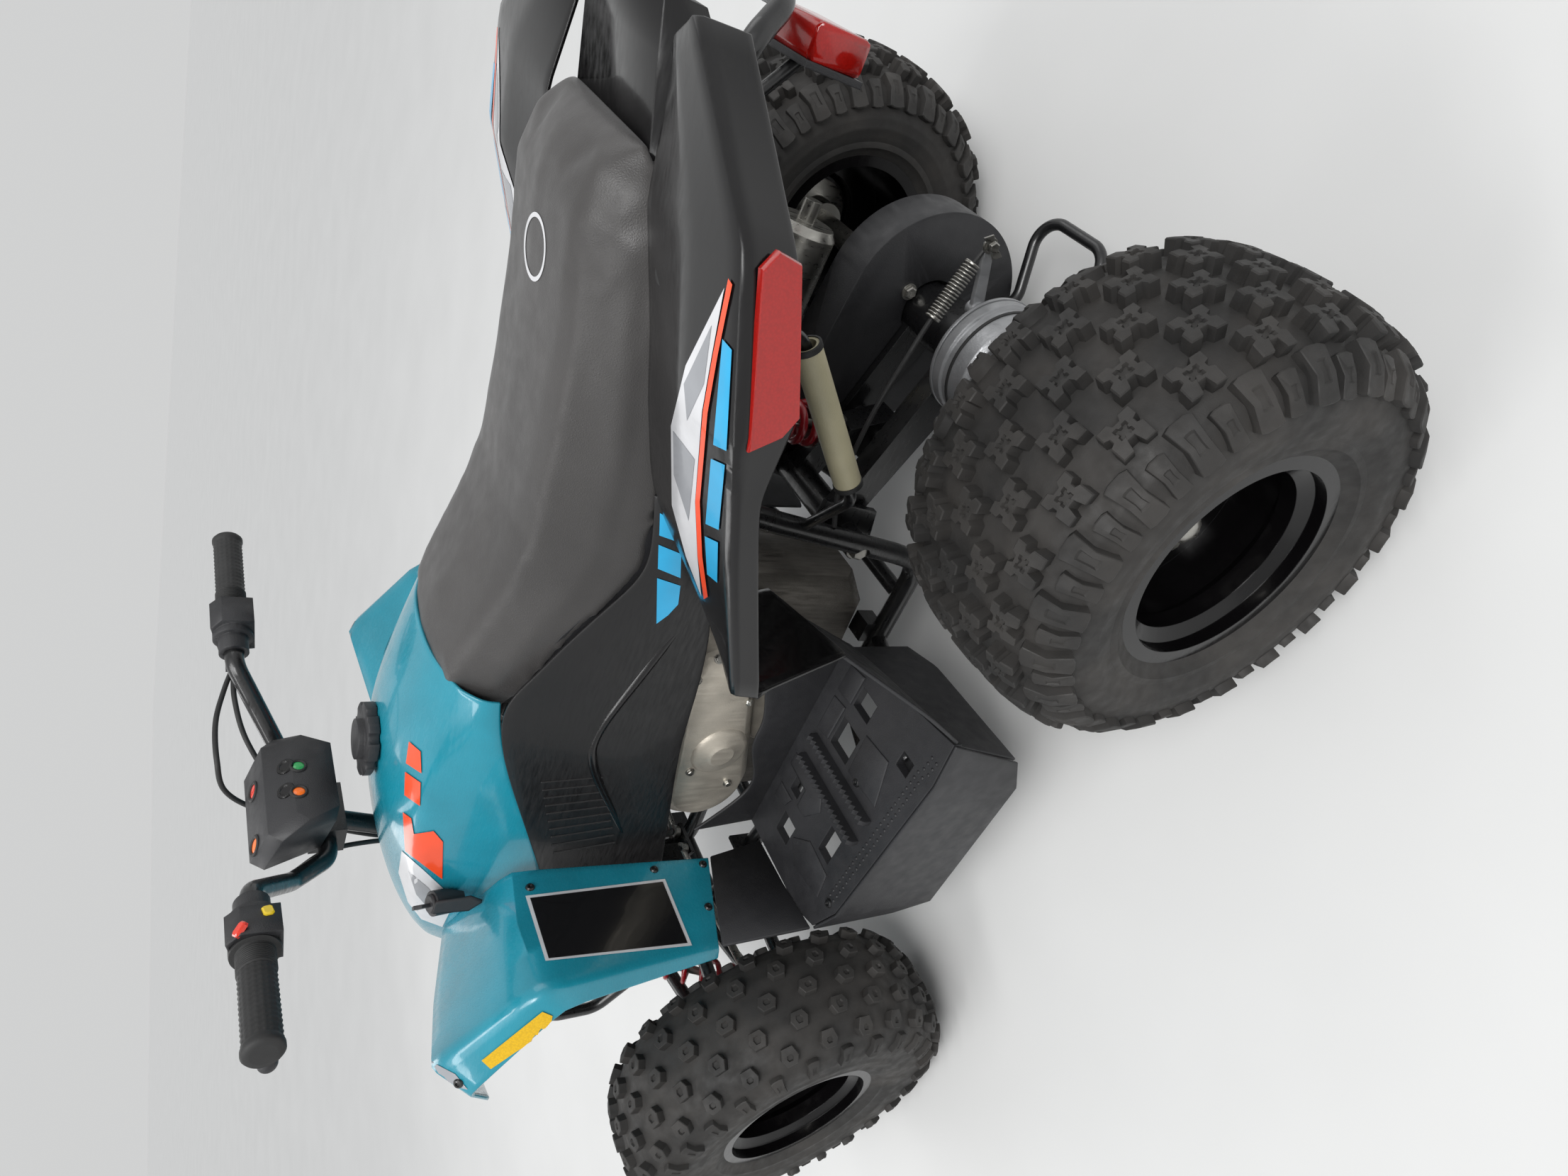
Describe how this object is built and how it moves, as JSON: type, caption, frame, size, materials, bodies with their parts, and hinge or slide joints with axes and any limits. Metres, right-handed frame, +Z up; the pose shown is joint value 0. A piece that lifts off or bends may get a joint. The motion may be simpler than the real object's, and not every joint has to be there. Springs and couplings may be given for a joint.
{
  "type": "quad bike",
  "caption": "Youth quad bike with steered front wheels, a live rear axle, moulded plastics and a padded seat.",
  "frame": {"origin": "on the floor under the middle of the bike's overall length and width", "axes": "+X forward, +Y to the rider's left, +Z up"},
  "size_m": [1.522, 0.95, 0.9276],
  "materials": {
    "teal_plastic": "gloss",
    "black_plastic": "gloss",
    "matte_plastic": "matte, lightly grained",
    "black_metal": "gloss black powder coat",
    "seat_vinyl": "matte, grained",
    "cast_metal": "cast, satin",
    "grey_metal": "satin grey",
    "steel": "zinc plated",
    "tyre": "matte",
    "red_metal": "gloss red",
    "red_lens": "clear gloss",
    "yellow_lens": "clear gloss",
    "clear_lens": "clear",
    "rubber": "matte",
    "cream_sleeve": "matte"
  },
  "bodies": {
    "chassis": {"chain_guard": "matte_plastic", "engine_block": "cast_metal", "engine_cover": "cast_metal", "fender_stays": "black_metal", "footwells": "matte_plastic", "frame": "black_metal", "front_bumper": "black_metal", "front_fenders": "teal_plastic", "front_shocks": "steel", "front_springs": "red_metal", "fuel_cap": "matte_plastic", "grab_bar": "black_metal", "headlamps": "clear_lens", "inner_mudguards": "matte_plastic", "intake_boot": "rubber", "key_lock": "matte_plastic", "lower_arms": "black_metal", "muffler": "steel", "nose_cowl": "teal_plastic", "rear_brake_panel": "cast_metal", "rear_fenders": "black_plastic", "rear_hoop": "black_metal", "rear_shock": "steel", "rear_spring": "red_metal", "seat": "seat_vinyl", "side_panels": "black_plastic", "stay_sleeves": "cream_sleeve", "swingarm": "black_metal", "tail_cover": "black_plastic", "tail_lamp": "red_lens", "tail_lamp_stay": "black_metal", "tank_cover": "teal_plastic", "upper_arms": "black_metal"},
    "steering": {"steering_stem": "black_metal", "handlebar": "black_metal", "grips": "rubber", "instrument_pod": "matte_plastic", "left_controls": "matte_plastic", "right_controls": "matte_plastic"},
    "knuckle_left": {"knuckle_left": "black_metal"},
    "knuckle_right": {"knuckle_right": "black_metal"},
    "wheel_front_left": {"front_rim_left": "black_metal", "front_tyre_left": "tyre", "front_drum_left": "grey_metal"},
    "wheel_front_right": {"front_rim_right": "black_metal", "front_tyre_right": "tyre", "front_drum_right": "grey_metal"},
    "tie_rod_left": {"tie_rod_left": "steel"},
    "tie_rod_right": {"tie_rod_right": "steel"},
    "rear_axle": {"rear_axle": "steel", "rear_sprocket": "steel", "rear_brake_drum": "cast_metal", "rear_rim_left": "black_metal", "rear_rim_right": "black_metal", "rear_tyre_left": "tyre", "rear_tyre_right": "tyre"}
  },
  "joints": [
    {"name": "steer", "type": "hinge", "parent": "chassis", "child": "steering", "pos_m": [0.472, 0, 0.255], "axis": [-0.342, 0, 0.9397], "range_deg": [-30, 30]},
    {"name": "rear_axle_spin", "type": "hinge", "parent": "chassis", "child": "rear_axle", "pos_m": [-0.511, 0, 0.226], "axis": [0, 1, 0], "continuous": true},
    {"name": "knuckle_left_turn", "type": "hinge", "parent": "chassis", "child": "knuckle_left", "pos_m": [0.441, 0.34, 0.238], "axis": [0, 0, 1], "range_deg": [-31, 31]},
    {"name": "wheel_left_spin", "type": "hinge", "parent": "knuckle_left", "child": "wheel_front_left", "pos_m": [0.441, 0.385, 0.238], "axis": [0, 1, 0], "continuous": true},
    {"name": "tie_rod_left_swing", "type": "hinge", "parent": "steering", "child": "tie_rod_left", "pos_m": [0.41978, 0.018, 0.25228], "axis": [-0.342, 0, 0.9397], "range_deg": [-31, 31]},
    {"name": "knuckle_right_turn", "type": "hinge", "parent": "chassis", "child": "knuckle_right", "pos_m": [0.441, -0.34, 0.238], "axis": [0, 0, 1], "range_deg": [-31, 31]},
    {"name": "wheel_right_spin", "type": "hinge", "parent": "knuckle_right", "child": "wheel_front_right", "pos_m": [0.441, -0.385, 0.238], "axis": [0, 1, 0], "continuous": true},
    {"name": "tie_rod_right_swing", "type": "hinge", "parent": "steering", "child": "tie_rod_right", "pos_m": [0.41978, -0.018, 0.25228], "axis": [-0.342, 0, 0.9397], "range_deg": [-31, 31]}
  ],
  "couplings": [
    {"joint": "knuckle_left_turn", "follows": "steer", "ratio": 1},
    {"joint": "tie_rod_left_swing", "follows": "steer", "ratio": -1},
    {"joint": "knuckle_right_turn", "follows": "steer", "ratio": 1},
    {"joint": "tie_rod_right_swing", "follows": "steer", "ratio": -1}
  ]
}
